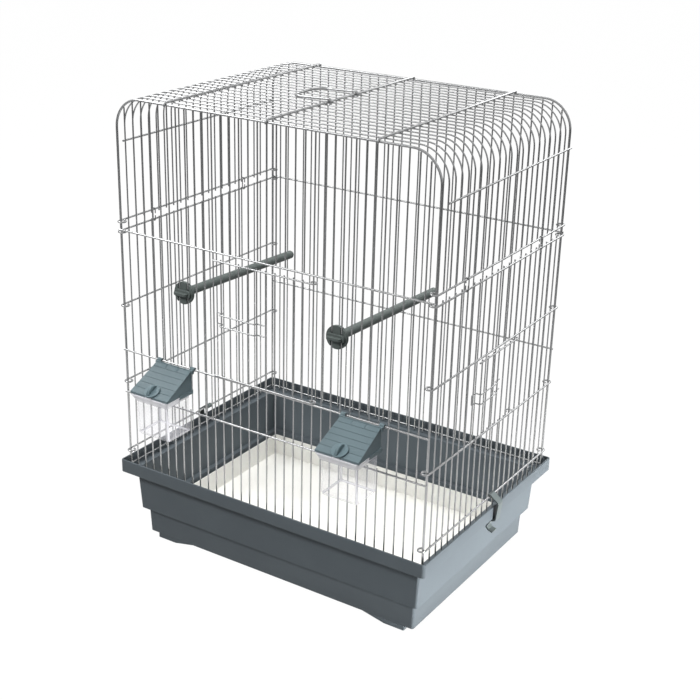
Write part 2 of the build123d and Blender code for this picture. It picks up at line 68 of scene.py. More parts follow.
def studio_lamp(name, place, aim, size, watts, spread=180, mirrored=True):
    lamp = bpy.data.lights.new(name, "AREA")
    lamp.shape = "RECTANGLE"
    lamp.size = size[0]
    lamp.size_y = size[1]
    lamp.energy = watts
    lamp.spread = radians(spread)
    holder = bpy.data.objects.new(name, lamp)
    holder.location = place
    holder.rotation_euler = (Vector(aim) - Vector(place)).to_track_quat("-Z", "Y").to_euler()
    holder.visible_glossy = mirrored
    scene.collection.objects.link(holder)


studio_lamp("top_softbox", (0.5, 0.6, 2.2), (0, 0.1, 0.1), (1.4, 1.4), watts=56, mirrored=False)
studio_lamp("right_strip", (1.55, 0.15, 0.07), (0.25, 0.15, 0.07), (1.4, 0.12), watts=3.0, spread=16)
studio_lamp("front_softbox", (-0.3, -1.8, 1.75), (0, 0, 0.1), (0.6, 0.4), watts=32, mirrored=False)
studio_lamp("back_strip", (0.15, 1.75, 1.25), (0.1, 0, 0.3), (1.6, 0.35), watts=7)
studio_lamp("left_strip", (-1.2, -0.4, 1.75), (0, -0.1, 0.3), (2.4, 0.35), watts=20)


def seen_directly(tree, near_share, far_share):
    path = tree.nodes.new("ShaderNodeLightPath")
    either = tree.nodes.new("ShaderNodeMath")
    either.operation = "MAXIMUM"
    tree.links.new(path.outputs["Is Camera Ray"], either.inputs[0])
    tree.links.new(path.outputs["Is Transmission Ray"], either.inputs[1])
    fading = tree.nodes.new("ShaderNodeMapRange")
    fading.inputs["From Min"].default_value = 0.3
    fading.inputs["From Max"].default_value = 1.1
    fading.inputs["To Min"].default_value = near_share
    fading.inputs["To Max"].default_value = far_share
    tree.links.new(path.outputs["Ray Length"], fading.inputs["Value"])
    mirrored = tree.nodes.new("ShaderNodeMath")
    mirrored.operation = "MULTIPLY"
    tree.links.new(path.outputs["Is Glossy Ray"], mirrored.inputs[0])
    tree.links.new(fading.outputs["Result"], mirrored.inputs[1])
    every = tree.nodes.new("ShaderNodeMath")
    every.operation = "MAXIMUM"
    tree.links.new(either.outputs[0], every.inputs[0])
    tree.links.new(mirrored.outputs[0], every.inputs[1])
    return every.outputs[0]


sky = bpy.data.worlds.new("white_room")
sky.use_nodes = True
scene.world = sky
room = sky.node_tree
room.nodes.clear()
dim = room.nodes.new("ShaderNodeBackground")
dim.inputs["Color"].default_value = (0.9, 0.95, 1.0, 1)
dim.inputs["Strength"].default_value = 0.06
white = room.nodes.new("ShaderNodeBackground")
white.inputs["Color"].default_value = (1, 1, 1, 1)
white.inputs["Strength"].default_value = 1.0
pick = room.nodes.new("ShaderNodeMixShader")
room.links.new(seen_directly(room, near_share=0.6, far_share=0.6), pick.inputs[0])
room.links.new(dim.outputs[0], pick.inputs[1])
room.links.new(white.outputs[0], pick.inputs[2])
out = room.nodes.new("ShaderNodeOutputWorld")
room.links.new(pick.outputs[0], out.inputs["Surface"])

floor_half = 9
floor_drop = 0.0005
floor_mesh = bpy.data.meshes.new("studio_floor")
floor_corners = [(-floor_half, -floor_half, 0), (floor_half, -floor_half, 0), (floor_half, floor_half, 0),
                 (-floor_half, floor_half, 0)]
floor_mesh.from_pydata(floor_corners, [], [(0, 1, 2, 3)])
floor = bpy.data.objects.new("studio_floor", floor_mesh)
floor.location.z = -floor_drop
scene.collection.objects.link(floor)
paper = bpy.data.materials.new("white_paper")
paper.use_nodes = True
sheet = paper.node_tree
sheet.nodes.clear()
matt = sheet.nodes.new("ShaderNodeBsdfDiffuse")
matt.inputs["Color"].default_value = (0.25, 0.25, 0.25, 1)
bright = sheet.nodes.new("ShaderNodeEmission")
bright.inputs["Strength"].default_value = 1.07
share = sheet.nodes.new("ShaderNodeMath")
share.operation = "MULTIPLY"
share.inputs[1].default_value = 0.93
sheet.links.new(seen_directly(sheet, near_share=1.0, far_share=0.05), share.inputs[0])
both = sheet.nodes.new("ShaderNodeMixShader")
sheet.links.new(share.outputs[0], both.inputs[0])
sheet.links.new(matt.outputs[0], both.inputs[1])
sheet.links.new(bright.outputs[0], both.inputs[2])
end = sheet.nodes.new("ShaderNodeOutputMaterial")
sheet.links.new(both.outputs[0], end.inputs["Surface"])
floor_mesh.materials.append(paper)


# Base tray: injection-moulded grey polypropylene with a fine spark-eroded grain, a rim band over a ledge,
# two tiers of wall and four low feet. It carries the whole cage.
tray_edge = 0.0005
merge_distance = 2e-6
flat_angle = radians(0.6)
corner_angle = radians(34)


def grained_plastic(name, colour, deep_colour, grain, rough, grain_depth):
    material = bpy.data.materials.new(name)
    material.use_nodes = True
    tree = material.node_tree
    surface = tree.nodes["Principled BSDF"]
    surface.inputs["Specular IOR Level"].default_value = 0.14
    where = tree.nodes.new("ShaderNodeTexCoord")
    cloud = tree.nodes.new("ShaderNodeTexNoise")
    cloud.inputs["Scale"].default_value = 14.0
    cloud.inputs["Detail"].default_value = 5.0
    tree.links.new(where.outputs["Object"], cloud.inputs["Vector"])
    tint = tree.nodes.new("ShaderNodeValToRGB")
    tint.color_ramp.elements[0].position = 0.32
    tint.color_ramp.elements[0].color = (*deep_colour, 1)
    tint.color_ramp.elements[1].position = 0.66
    tint.color_ramp.elements[1].color = (*colour, 1)
    tree.links.new(cloud.outputs["Fac"], tint.inputs["Fac"])
    tree.links.new(tint.outputs["Color"], surface.inputs["Base Color"])
    pits = tree.nodes.new("ShaderNodeTexNoise")
    pits.inputs["Scale"].default_value = grain
    pits.inputs["Detail"].default_value = 3.0
    tree.links.new(where.outputs["Object"], pits.inputs["Vector"])
    sheen = tree.nodes.new("ShaderNodeMapRange")
    sheen.inputs["From Min"].default_value = 0.3
    sheen.inputs["From Max"].default_value = 0.7
    sheen.inputs["To Min"].default_value = rough - 0.06
    sheen.inputs["To Max"].default_value = rough + 0.08
    tree.links.new(pits.outputs["Fac"], sheen.inputs["Value"])
    tree.links.new(sheen.outputs["Result"], surface.inputs["Roughness"])
    relief = tree.nodes.new("ShaderNodeBump")
    relief.inputs["Strength"].default_value = 0.35
    relief.inputs["Distance"].default_value = grain_depth
    tree.links.new(pits.outputs["Fac"], relief.inputs["Height"])
    tree.links.new(relief.outputs["Normal"], surface.inputs["Normal"])
    return material


def moulding(node, name, body, material, edge):
    shape = bmesh.new()
    shape.from_mesh(nodes[node].data)
    bmesh.ops.remove_doubles(shape, verts=shape.verts, dist=merge_distance)
    bmesh.ops.dissolve_limit(shape, angle_limit=flat_angle, verts=shape.verts, edges=shape.edges)
    mesh = bpy.data.meshes.new(name)
    shape.to_mesh(mesh)
    shape.free()
    for face in mesh.polygons:
        face.use_smooth = True
    mesh.set_sharp_from_angle(angle=corner_angle)
    mesh.materials.append(material)
    piece = bpy.data.objects.new(name, mesh)
    scene.collection.objects.link(piece)
    rounding = piece.modifiers.new("broken_edges", "BEVEL")
    rounding.width = edge
    rounding.segments = 2
    rounding.limit_method = "ANGLE"
    rounding.angle_limit = corner_angle
    rounding.use_clamp_overlap = True
    rounding.harden_normals = True
    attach(piece, body)
    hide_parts(node)


tray_grey = grained_plastic("tray_grey", (0.100, 0.118, 0.130), (0.092, 0.108, 0.120),
                            grain=1500.0, rough=0.46, grain_depth=0.00012)
moulding("base_tray", "grey_base_tray", "cage", tray_grey, tray_edge)


# Floor liner: a shallow tray of thin white sheet plastic. It lies loose on the floor of the base to catch
# the litter, and lifts out once the cage is off.
fine_edge = 0.0003
liner_white = grained_plastic("liner_white", (0.86, 0.855, 0.82), (0.83, 0.82, 0.78),
                              grain=700.0, rough=0.5, grain_depth=0.00008)
moulding("floor_liner", "white_floor_liner", "cage", liner_white, fine_edge)


# End hoops: the thickest wires, each bent over at the two roof corners. Like all the wire of the cage they
# are drawn steel, bright zinc-plated after welding. The bender rounds each corner of a run by its own
# radius and sweeps a round wire along it.
hoop_x = 0.2451
hoop_y = 0.1751
hoop_wire = 0.0032
roof_z = 0.658
roof_bend = 0.040
ledge_z = 0.114
wire_corner_angle = radians(50)

zinc = bpy.data.materials.new("zinc_plated_wire")
zinc.use_nodes = True
plating = zinc.node_tree
bright_steel = plating.nodes["Principled BSDF"]
bright_steel.inputs["Metallic"].default_value = 0.9
bright_steel.inputs["Specular IOR Level"].default_value = 0.5
place = plating.nodes.new("ShaderNodeTexCoord")
patches = plating.nodes.new("ShaderNodeTexNoise")
patches.inputs["Scale"].default_value = 90.0
patches.inputs["Detail"].default_value = 4.0
plating.links.new(place.outputs["Object"], patches.inputs["Vector"])
spangle = plating.nodes.new("ShaderNodeValToRGB")
spangle.color_ramp.elements[0].position = 0.3
spangle.color_ramp.elements[0].color = (0.45, 0.455, 0.46, 1)
spangle.color_ramp.elements[1].position = 0.7
spangle.color_ramp.elements[1].color = (0.49, 0.495, 0.50, 1)
plating.links.new(patches.outputs["Fac"], spangle.inputs["Fac"])
plating.links.new(spangle.outputs["Color"], bright_steel.inputs["Base Color"])
dulling = plating.nodes.new("ShaderNodeMapRange")
dulling.inputs["From Min"].default_value = 0.3
dulling.inputs["From Max"].default_value = 0.7
dulling.inputs["To Min"].default_value = 0.20
dulling.inputs["To Max"].default_value = 0.24
plating.links.new(patches.outputs["Fac"], dulling.inputs["Value"])
plating.links.new(dulling.outputs["Result"], bright_steel.inputs["Roughness"])
draw_lines = plating.nodes.new("ShaderNodeTexNoise")
draw_lines.inputs["Scale"].default_value = 2600.0
draw_lines.inputs["Detail"].default_value = 2.0
plating.links.new(place.outputs["Object"], draw_lines.inputs["Vector"])
drawn = plating.nodes.new("ShaderNodeBump")
drawn.inputs["Strength"].default_value = 0.03
drawn.inputs["Distance"].default_value = 0.00004
plating.links.new(draw_lines.outputs["Fac"], drawn.inputs["Height"])
plating.links.new(drawn.outputs["Normal"], bright_steel.inputs["Normal"])

bender = bpy.data.node_groups.new("wire_bender", "GeometryNodeTree")
bender.interface.new_socket("Wire runs", in_out="INPUT", socket_type="NodeSocketGeometry")
thick_socket = bender.interface.new_socket("Wire thickness", in_out="INPUT", socket_type="NodeSocketFloat")
sides_socket = bender.interface.new_socket("Sides", in_out="INPUT", socket_type="NodeSocketInt")
steps_socket = bender.interface.new_socket("Steps in a bend", in_out="INPUT", socket_type="NodeSocketInt")
plate_socket = bender.interface.new_socket("Plating", in_out="INPUT", socket_type="NodeSocketMaterial")
bender.interface.new_socket("Wire", in_out="OUTPUT", socket_type="NodeSocketGeometry")
given = bender.nodes.new("NodeGroupInput")
line = bender.nodes.new("GeometryNodeMeshToCurve")
bender.links.new(given.outputs["Wire runs"], line.inputs["Mesh"])
bend = bender.nodes.new("GeometryNodeInputNamedAttribute")
bend.data_type = "FLOAT"
bend.inputs["Name"].default_value = "bend"
fillet = bender.nodes.new("GeometryNodeFilletCurve")
fillet.mode = "POLY"
bender.links.new(line.outputs["Curve"], fillet.inputs["Curve"])
bender.links.new(given.outputs["Steps in a bend"], fillet.inputs["Count"])
bender.links.new(bend.outputs["Attribute"], fillet.inputs["Radius"])
fillet.inputs["Limit Radius"].default_value = True
ring = bender.nodes.new("GeometryNodeCurvePrimitiveCircle")
half = bender.nodes.new("ShaderNodeMath")
half.operation = "MULTIPLY"
half.inputs[1].default_value = 0.5
bender.links.new(given.outputs["Wire thickness"], half.inputs[0])
bender.links.new(half.outputs[0], ring.inputs["Radius"])
bender.links.new(given.outputs["Sides"], ring.inputs["Resolution"])
tube = bender.nodes.new("GeometryNodeCurveToMesh")
tube.inputs["Fill Caps"].default_value = True
bender.links.new(fillet.outputs["Curve"], tube.inputs["Curve"])
bender.links.new(ring.outputs["Curve"], tube.inputs["Profile Curve"])
real = bender.nodes.new("GeometryNodeRealizeInstances")
bender.links.new(tube.outputs["Mesh"], real.inputs["Geometry"])
plated = bender.nodes.new("GeometryNodeSetMaterial")
bender.links.new(real.outputs["Geometry"], plated.inputs["Geometry"])
bender.links.new(given.outputs["Plating"], plated.inputs["Material"])
result = bender.nodes.new("NodeGroupOutput")
bender.links.new(plated.outputs["Geometry"], result.inputs["Wire"])


def settle(draft, name, body, replaced):
    bpy.context.view_layer.update()
    ready = draft.evaluated_get(bpy.context.evaluated_depsgraph_get())
    mesh = bpy.data.meshes.new_from_object(ready)
    mesh.name = name
    for face in mesh.polygons:
        face.use_smooth = True
    mesh.set_sharp_from_angle(angle=wire_corner_angle)
    bpy.data.objects.remove(draft)
    piece = bpy.data.objects.new(name, mesh)
    scene.collection.objects.link(piece)
    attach(piece, body)
    if replaced:
        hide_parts(*replaced)


def bent_wires(name, runs, thickness, body, *replaced, sides=12, steps=8):
    points = []
    bends = []
    pairs = []
    for run, radius in runs:
        first = len(points)
        radii = radius if isinstance(radius, list) else [radius] * len(run)
        points += [(x, y + tray_middle_y, z) for x, y, z in run]
        bends += radii
        pairs += [(first + k, first + k + 1) for k in range(len(run) - 1)]
    skeleton = bpy.data.meshes.new(name + "_runs")
    skeleton.from_pydata(points, pairs, [])
    skeleton.attributes.new("bend", "FLOAT", "POINT").data.foreach_set("value", bends)
    draft = bpy.data.objects.new(name + "_runs", skeleton)
    scene.collection.objects.link(draft)
    bending = draft.modifiers.new("wire_bender", "NODES")
    bending.node_group = bender
    bending[thick_socket.identifier] = thickness
    bending[sides_socket.identifier] = sides
    bending[steps_socket.identifier] = steps
    bending[plate_socket.identifier] = zinc
    settle(draft, name, body, replaced)


for end_name, y in (("front", -hoop_y), ("back", hoop_y)):
    hoop_run = [(-hoop_x, y, ledge_z), (-hoop_x, y, roof_z), (hoop_x, y, roof_z), (hoop_x, y, ledge_z)]
    bent_wires(end_name + "_end_hoop", [(hoop_run, roof_bend)], hoop_wire, "cage", end_name + "_hoop",
               sides=16, steps=14)


# End-wall uprights: straight cut lengths standing on the tray's ledge and butted under the hoop. Front ones
# are cut away for the door and behind the two feeders.
upright_wire = 0.0020
bays_wide = 34
bay_wide = 2 * hoop_x / bays_wide
wall_y = hoop_y + hoop_wire / 2 - upright_wire / 2
front_mid_z = 0.4772
front_second_z = 0.3015
front_third_z = 0.2370
wire_past_rail = 0.0020
front_jamb = 11
front_hinge = 22
feeder_bays = (5, 8)


def bay_x(number):
    return -hoop_x + number * bay_wide


def upright_top(x):
    inner = roof_bend - hoop_wire / 2
    past = max(0.0, abs(x) + upright_wire / 2 - (hoop_x - roof_bend))
    return roof_z - roof_bend + sqrt(inner ** 2 - past ** 2)


def upright_runs(y, gap_of_bay):
    runs = []
    for bay in range(1, bays_wide):
        x = bay_x(bay)
        ends = [ledge_z, *gap_of_bay(bay), upright_top(x)]
        runs += [([(x, y, ends[k]), (x, y, ends[k + 1])], 0.0) for k in range(0, len(ends), 2)]
    return runs


def front_gap(bay):
    if feeder_bays[0] <= min(bay, bays_wide - bay) <= feeder_bays[1]:
        return [front_third_z + wire_past_rail, front_second_z - wire_past_rail]
    if front_jamb < bay < front_hinge:
        return [front_second_z + wire_past_rail, front_mid_z - wire_past_rail]
    return []


bent_wires("front_uprights", upright_runs(-wall_y, front_gap), upright_wire, "cage", "front_upright_wires")
bent_wires("back_uprights", upright_runs(wall_y, lambda bay: []), upright_wire, "cage", "back_upright_wires")


# End-wall cross wires: thicker straight wires, cut to the width of the hoop and spot-welded across the
# outside of the uprights and hoop legs.
rail_wire = 0.0026
rail_y = hoop_y + hoop_wire / 2 + rail_wire / 2
cross_end = hoop_x + hoop_wire / 2
bottom_rail_z = 0.1195
back_second_z = 0.3035
front_heights = (bottom_rail_z, front_third_z, front_second_z, front_mid_z)
back_heights = (bottom_rail_z, back_second_z, front_mid_z)
for end_name, y, heights in (("front", -rail_y, front_heights), ("back", rail_y, back_heights)):
    runs = [([(-cross_end, y, z), (cross_end, y, z)], 0.0) for z in heights]
    bent_wires(end_name + "_cross_rails", runs, rail_wire, "cage", end_name + "_cross_wires", sides=14)


# Roof wires: each is one length of the thin wire, bent over the roof and down both sides to the joint at
# mid height, where it is welded to the upper rail.
bays_deep = 22
bay_deep = 2 * hoop_y / bays_deep
wall_x = hoop_x + hoop_wire / 2 - upright_wire / 2
roof_rise = hoop_wire / 2 - upright_wire / 2
pair_upper_z = 0.4885
joint_past_rail = 0.003


def bay_y(number):
    return -hoop_y + number * bay_deep


runs = []
for bay in range(1, bays_deep):
    low = pair_upper_z - joint_past_rail
    top = roof_z + roof_rise
    run = [(-wall_x, bay_y(bay), low), (-wall_x, bay_y(bay), top), (wall_x, bay_y(bay), top),
           (wall_x, bay_y(bay), low)]
    runs.append((run, roof_bend + roof_rise))
bent_wires("roof_wires", runs, upright_wire, "cage", "roof_hoop_wires", steps=12)


# Lower side wires: straight lengths of the thin wire from the tray's ledge up to the joint, welded inside
# the side rails. The right side is cut away for its door.
pair_lower_z = 0.4742
side_third_z = 0.3675
side_fourth_z = 0.2530
right_jamb = 7
right_hinge = 14
for side_name, side in (("left", -1), ("right", 1)):
    runs = []
    for bay in range(1, bays_deep):
        ends = [ledge_z, pair_lower_z + joint_past_rail]
        if side > 0 and right_jamb < bay < right_hinge:
            ends[1:1] = [side_fourth_z + wire_past_rail, side_third_z - wire_past_rail]
        spot = side * wall_x, bay_y(bay)
        runs += [([(*spot, ends[k]), (*spot, ends[k + 1])], 0.0) for k in range(0, len(ends), 2)]
    bent_wires(side_name + "_lower_wires", runs, upright_wire, "cage", side_name + "_side_wires")


# Side rails: thicker wires whose ends curl into open eyes round the hoop legs, so that the walls hook
# together flat. The top and bottom rails are plain lengths, welded on.
rail_x = hoop_x + hoop_wire / 2 + rail_wire / 2
side_top_z = 0.596
side_fifth_z = 0.1435
eye_bend = 0.005
eye_tip = 0.0046


def eyed_rail(side, z):
    near = side * rail_x
    far = side * (rail_x - 2 * eye_bend)
    tip = side * (rail_x - eye_tip)
    out_y = hoop_y + eye_bend
    in_y = hoop_y - eye_bend
    run = [(tip, -in_y, z), (far, -in_y, z), (far, -out_y, z), (near, -out_y, z), (near, out_y, z),
           (far, out_y, z), (far, in_y, z), (tip, in_y, z)]
    return run, eye_bend


for side_name, side in (("left", -1), ("right", 1)):
    near = side * rail_x
    top_run = [(near, bay_y(1) - wire_past_rail, side_top_z), (near, hoop_y + hoop_wire / 2, side_top_z)]
    bent_wires(side_name + "_upper_rails", [(top_run, 0.0), eyed_rail(side, pair_upper_z)], rail_wire, "cage",
               "upper_" + side_name + "_rails", sides=14)
    low_run = [(near, -hoop_y, bottom_rail_z), (near, hoop_y, bottom_rail_z)]
    eyed = [eyed_rail(side, z) for z in (pair_lower_z, side_third_z, side_fourth_z, side_fifth_z)]
    bent_wires(side_name + "_lower_rails", eyed + [(low_run, 0.0)], rail_wire, "cage",
               side_name + "_side_rails", sides=14)


# Joining clips: short lengths of soft wire, bent into rings and squeezed round the two rails at the joint.
# Two on each side hold the upper and lower halves together.
ring_wire = 0.0016
ring_reach = rail_wire / 2 + ring_wire / 2
ring_low = pair_lower_z - ring_reach
ring_high = pair_upper_z + ring_reach
ring_middle = (ring_low + ring_high) / 2
ring_bend = 0.96 * ring_reach
ring_bays = (4.5, 17.5)
for side_name, side in (("left", -1), ("right", 1)):
    inner = side * (rail_x - ring_reach)
    outer = side * (rail_x + ring_reach)
    runs = []
    for bay in ring_bays:
        y = bay_y(bay)
        run = [(inner, y, ring_middle - ring_wire), (inner, y, ring_low), (outer, y, ring_low),
               (outer, y, ring_high), (inner, y, ring_high), (inner, y, ring_middle + ring_wire)]
        runs.append((run, ring_bend))
    bent_wires(side_name + "_joint_rings", runs, ring_wire, "cage", side_name + "_joining_clips", sides=10)


# Roof bars: three straight bars laid over the roof wires to stiffen them, their ends curled down over the
# hoops and welded there.
bar_wire = 0.0030
bar_z = roof_z + hoop_wire / 2 + bar_wire / 2
hook_bend = hoop_wire / 2 + bar_wire / 2
hook_past_level = radians(25)
hook_turn_drop = 0.22 * hook_bend
bar_places = (("left", -0.160), ("middle", 0.0), ("right", 0.160))
for bar_name, x in bar_places:
    tip = (hoop_y + hook_bend * cos(hook_past_level), roof_z - hook_bend * sin(hook_past_level))
    out_y = hoop_y + hook_bend
    turn_z = roof_z - hook_turn_drop
    run = [(x, -tip[0], tip[1]), (x, -out_y, turn_z), (x, -out_y, bar_z), (x, out_y, bar_z),
           (x, out_y, turn_z), (x, tip[0], tip[1])]
    bent_wires("roof_bar_" + bar_name + "_rod", [(run, hook_bend)], bar_wire, "cage", "roof_bar_" + bar_name,
               sides=14)


# Carry handle: a bail of thick wire with an eye at each end, turning on the middle roof bar. It lies folded
# to the left on the roof wires.
running_gap = 0.0003
handle_wire = 0.0034
handle_eye = bar_wire / 2 + handle_wire / 2 + running_gap
handle_eye_drop = 0.0002
handle_reach = 0.062
handle_bend = 0.020
handle_bays = ((8.5, 1), (12.5, -1))
handle_fold = asin((handle_eye - (handle_wire / 2 + running_gap - bar_wire / 2)) / handle_reach)


def folded(x, y, rise):
    return (x * cos(handle_fold) - rise * sin(handle_fold), y,
            bar_z + x * sin(handle_fold) + rise * cos(handle_fold))


flat_run = []
for bay, order in handle_bays:
    y = bay_y(bay)
    half_run = [(-handle_eye, y, -handle_eye_drop), (-handle_eye, y, -handle_eye),
                (handle_eye, y, -handle_eye), (handle_eye, y, handle_eye), (-handle_reach, y, handle_eye)]
    flat_run += half_run[::order]
bends = [handle_eye] * 4 + [handle_bend] * 2 + [handle_eye] * 4
bent_wires("carry_bail", [([folded(*point) for point in flat_run], bends)], handle_wire, "carry_handle",
           "carry_handle", sides=16, steps=10)


# Doors: short uprights welded to two bars, whose ends are bent into loops round one wall upright and make
# the hinge. Each door swings out.
door_bar_wire = 0.0022
door_out = upright_wire + running_gap
door_y = wall_y + door_out
door_x = wall_x + door_out
door_bar_out = upright_wire / 2 + door_bar_wire / 2
loop_bend = door_out + door_bar_out
loop_tail = 0.0012


def looped_bar(start, hinge, out, z):
    back = out + 2 * loop_bend
    return [(start, out, z), (hinge + loop_bend, out, z), (hinge + loop_bend, back, z),
            (hinge - loop_bend, back, z), (hinge - loop_bend, out + loop_bend + loop_tail, z)]


def to_right_wall(run):
    return [(-y, x, z) for x, y, z in run]


front_low_z = front_second_z + rail_wire / 2 + running_gap
front_door_top_z = 0.4665
front_bar_start = -0.0835
runs = [([(bay_x(bay), -door_y, front_low_z), (bay_x(bay), -door_y, front_door_top_z + wire_past_rail)], 0.0)
        for bay in range(front_jamb + 1, front_hinge)]
bent_wires("front_door_uprights", runs, upright_wire, "front_door", "front_door_wires")
runs = [(looped_bar(front_bar_start, bay_x(front_hinge), -door_y - door_bar_out, z), loop_bend)
        for z in (front_door_top_z, front_low_z + door_bar_wire / 2)]
bent_wires("front_door_frame_bars", runs, door_bar_wire, "front_door", "front_door_bars", sides=14, steps=10)

right_low_z = side_fourth_z + rail_wire / 2 + running_gap
right_door_top_z = 0.3625
right_bar_start = -0.058
runs = [([(door_x, bay_y(bay), right_low_z), (door_x, bay_y(bay), right_door_top_z + wire_past_rail)], 0.0)
        for bay in range(right_jamb + 1, right_hinge)]
bent_wires("right_door_uprights", runs, upright_wire, "right_door", "right_door_wires")
runs = [(to_right_wall(looped_bar(right_bar_start, bay_y(right_hinge), -door_x - door_bar_out, z)), loop_bend)
        for z in (right_door_top_z, right_low_z + door_bar_wire / 2)]
bent_wires("right_door_frame_bars", runs, door_bar_wire, "right_door", "right_door_bars", sides=14, steps=10)


# Door latches: one thin wire each, two arms outside the door, the closed end turned in beside the door's edge
# and pushed behind the jamb, the free ends turned in round a door upright so that it cannot fall out.
latch_wire = 0.0018
latch_gap = upright_wire / 2 + latch_wire / 2 + running_gap
latch_bend = 0.0015
latch_bend_steps = 5
latch_depth = 0.0060
latch_heel = 0.0126
latch_toe = 0.0096
front_latch_post = 16
right_latch_post = 11


def latch_run(edge, post, out, high_z, low_z):
    leg = edge - latch_gap
    heel = post - latch_gap
    inside = out + latch_depth
    arm = [(heel + latch_heel, out + latch_gap), (heel, out + latch_gap), (heel, out - latch_gap),
           (leg, out - latch_gap), (leg, inside), (leg - latch_toe, inside)]
    return [(*spot, high_z) for spot in arm] + [(*spot, low_z) for spot in reversed(arm)]


front_latch = latch_run(bay_x(front_jamb + 1), bay_x(front_latch_post), -door_y, high_z=0.392, low_z=0.3765)
bent_wires("front_latch_wire", [(front_latch, latch_bend)], latch_wire, "front_door_latch",
           "front_door_latch", steps=latch_bend_steps)
right_latch = latch_run(bay_y(right_jamb + 1), bay_y(right_latch_post), -door_x, high_z=0.316, low_z=0.302)
bent_wires("right_latch_wire", [(to_right_wall(right_latch), latch_bend)], latch_wire, "right_door_latch",
           "right_door_latch", steps=latch_bend_steps)


# Spot welds: a small bead of squeezed metal wherever two wires cross and are welded. The beads are steel
# like the wires, and are plated over with them.
bead_radius = 0.00105
bead = bpy.data.node_groups.new("spot_welds", "GeometryNodeTree")
bead.interface.new_socket("Crossings", in_out="INPUT", socket_type="NodeSocketGeometry")
bead_size = bead.interface.new_socket("Bead size", in_out="INPUT", socket_type="NodeSocketFloat")
bead_plate = bead.interface.new_socket("Plating", in_out="INPUT", socket_type="NodeSocketMaterial")
bead.interface.new_socket("Beads", in_out="OUTPUT", socket_type="NodeSocketGeometry")
asked = bead.nodes.new("NodeGroupInput")
drop = bead.nodes.new("GeometryNodeMeshIcoSphere")
drop.inputs["Subdivisions"].default_value = 2
bead.links.new(asked.outputs["Bead size"], drop.inputs["Radius"])
spread = bead.nodes.new("GeometryNodeInstanceOnPoints")
bead.links.new(asked.outputs["Crossings"], spread.inputs["Points"])
bead.links.new(drop.outputs["Mesh"], spread.inputs["Instance"])
vary = bead.nodes.new("FunctionNodeRandomValue")
vary.data_type = "FLOAT_VECTOR"
vary.inputs[0].default_value = (0.9, 0.9, 0.9)
vary.inputs[1].default_value = (1.15, 1.15, 1.15)
vary.inputs["Seed"].default_value = 7
bead.links.new(vary.outputs[0], spread.inputs["Scale"])
solid = bead.nodes.new("GeometryNodeRealizeInstances")
bead.links.new(spread.outputs["Instances"], solid.inputs["Geometry"])
coated = bead.nodes.new("GeometryNodeSetMaterial")
bead.links.new(solid.outputs["Geometry"], coated.inputs["Geometry"])
bead.links.new(asked.outputs["Plating"], coated.inputs["Material"])
given_out = bead.nodes.new("NodeGroupOutput")
bead.links.new(coated.outputs["Geometry"], given_out.inputs["Beads"])


def weld_beads(name, spots, body):
    skeleton = bpy.data.meshes.new(name + "_spots")
    skeleton.from_pydata([(x, y + tray_middle_y, z) for x, y, z in spots], [], [])
    draft = bpy.data.objects.new(name + "_spots", skeleton)
    scene.collection.objects.link(draft)
    welding = draft.modifiers.new("spot_welds", "NODES")
    welding.node_group = bead
    welding[bead_size.identifier] = bead_radius
    welding[bead_plate.identifier] = zinc
    settle(draft, name, body, ())


touch_y = hoop_y + hoop_wire / 2
touch_x = hoop_x + hoop_wire / 2
spots = [(bay_x(bay), -touch_y, z) for bay in range(1, bays_wide) for z in front_heights]
spots += [(bay_x(bay), touch_y, z) for bay in range(1, bays_wide) for z in back_heights]
for side in (-1, 1):
    heights = (bottom_rail_z, side_fifth_z, side_fourth_z, side_third_z, pair_lower_z, pair_upper_z,
               side_top_z)
    spots += [(side * touch_x, bay_y(bay), z) for bay in range(1, bays_deep) for z in heights]
spots += [(x, bay_y(bay), roof_z + hoop_wire / 2) for bay in range(1, bays_deep) for _, x in bar_places]
weld_beads("cage_welds", spots, "cage")
door_bars_z = (front_door_top_z, front_low_z + door_bar_wire / 2)
spots = [(bay_x(bay), -door_y - upright_wire / 2, z) for bay in range(front_jamb + 1, front_hinge)
         for z in door_bars_z]
weld_beads("front_door_welds", spots, "front_door")
door_bars_z = (right_door_top_z, right_low_z + door_bar_wire / 2)
spots = [(door_x + upright_wire / 2, bay_y(bay), z) for bay in range(right_jamb + 1, right_hinge)
         for z in door_bars_z]
weld_beads("right_door_welds", spots, "right_door")


# Base clips: springy strips of moulded plastic, one in the middle of each end. Each hooks on the lowest
# side rail, and its nose snaps under the tray's rim.
clip_grey = grained_plastic("clip_grey", (0.106, 0.124, 0.124), (0.096, 0.113, 0.113),
                            grain=900.0, rough=0.4, grain_depth=0.00006)
for side_name in ("left", "right"):
    node = side_name + "_base_clip"
    moulding(node, side_name + "_rim_clip", node, clip_grey, fine_edge)


# Feeders: a blue-grey moulded hood with scored courses like a tiled roof hangs on the front rail; a clear
# polystyrene cup slides in the channels under its sides, and a finned knob on the hood holds it.
lip_depth = 0.010
lip_fade = 0.001
lid_grey = grained_plastic("lid_blue_grey", (0.132, 0.178, 0.195), (0.122, 0.165, 0.181),
                           grain=1100.0, rough=0.34, grain_depth=0.00005)
knob_grey = grained_plastic("knob_blue_grey", (0.136, 0.190, 0.210), (0.125, 0.175, 0.194),
                            grain=1100.0, rough=0.32, grain_depth=0.00005)
clear = bpy.data.materials.new("clear_polystyrene")
clear.use_nodes = True
glassy = clear.node_tree
resin = glassy.nodes["Principled BSDF"]
resin.inputs["Base Color"].default_value = (0.94, 0.935, 0.985, 1)
spot = glassy.nodes.new("ShaderNodeTexCoord")
flow = glassy.nodes.new("ShaderNodeTexNoise")
flow.inputs["Scale"].default_value = 60.0
flow.inputs["Detail"].default_value = 3.0
glassy.links.new(spot.outputs["Object"], flow.inputs["Vector"])
haze = glassy.nodes.new("ShaderNodeMapRange")
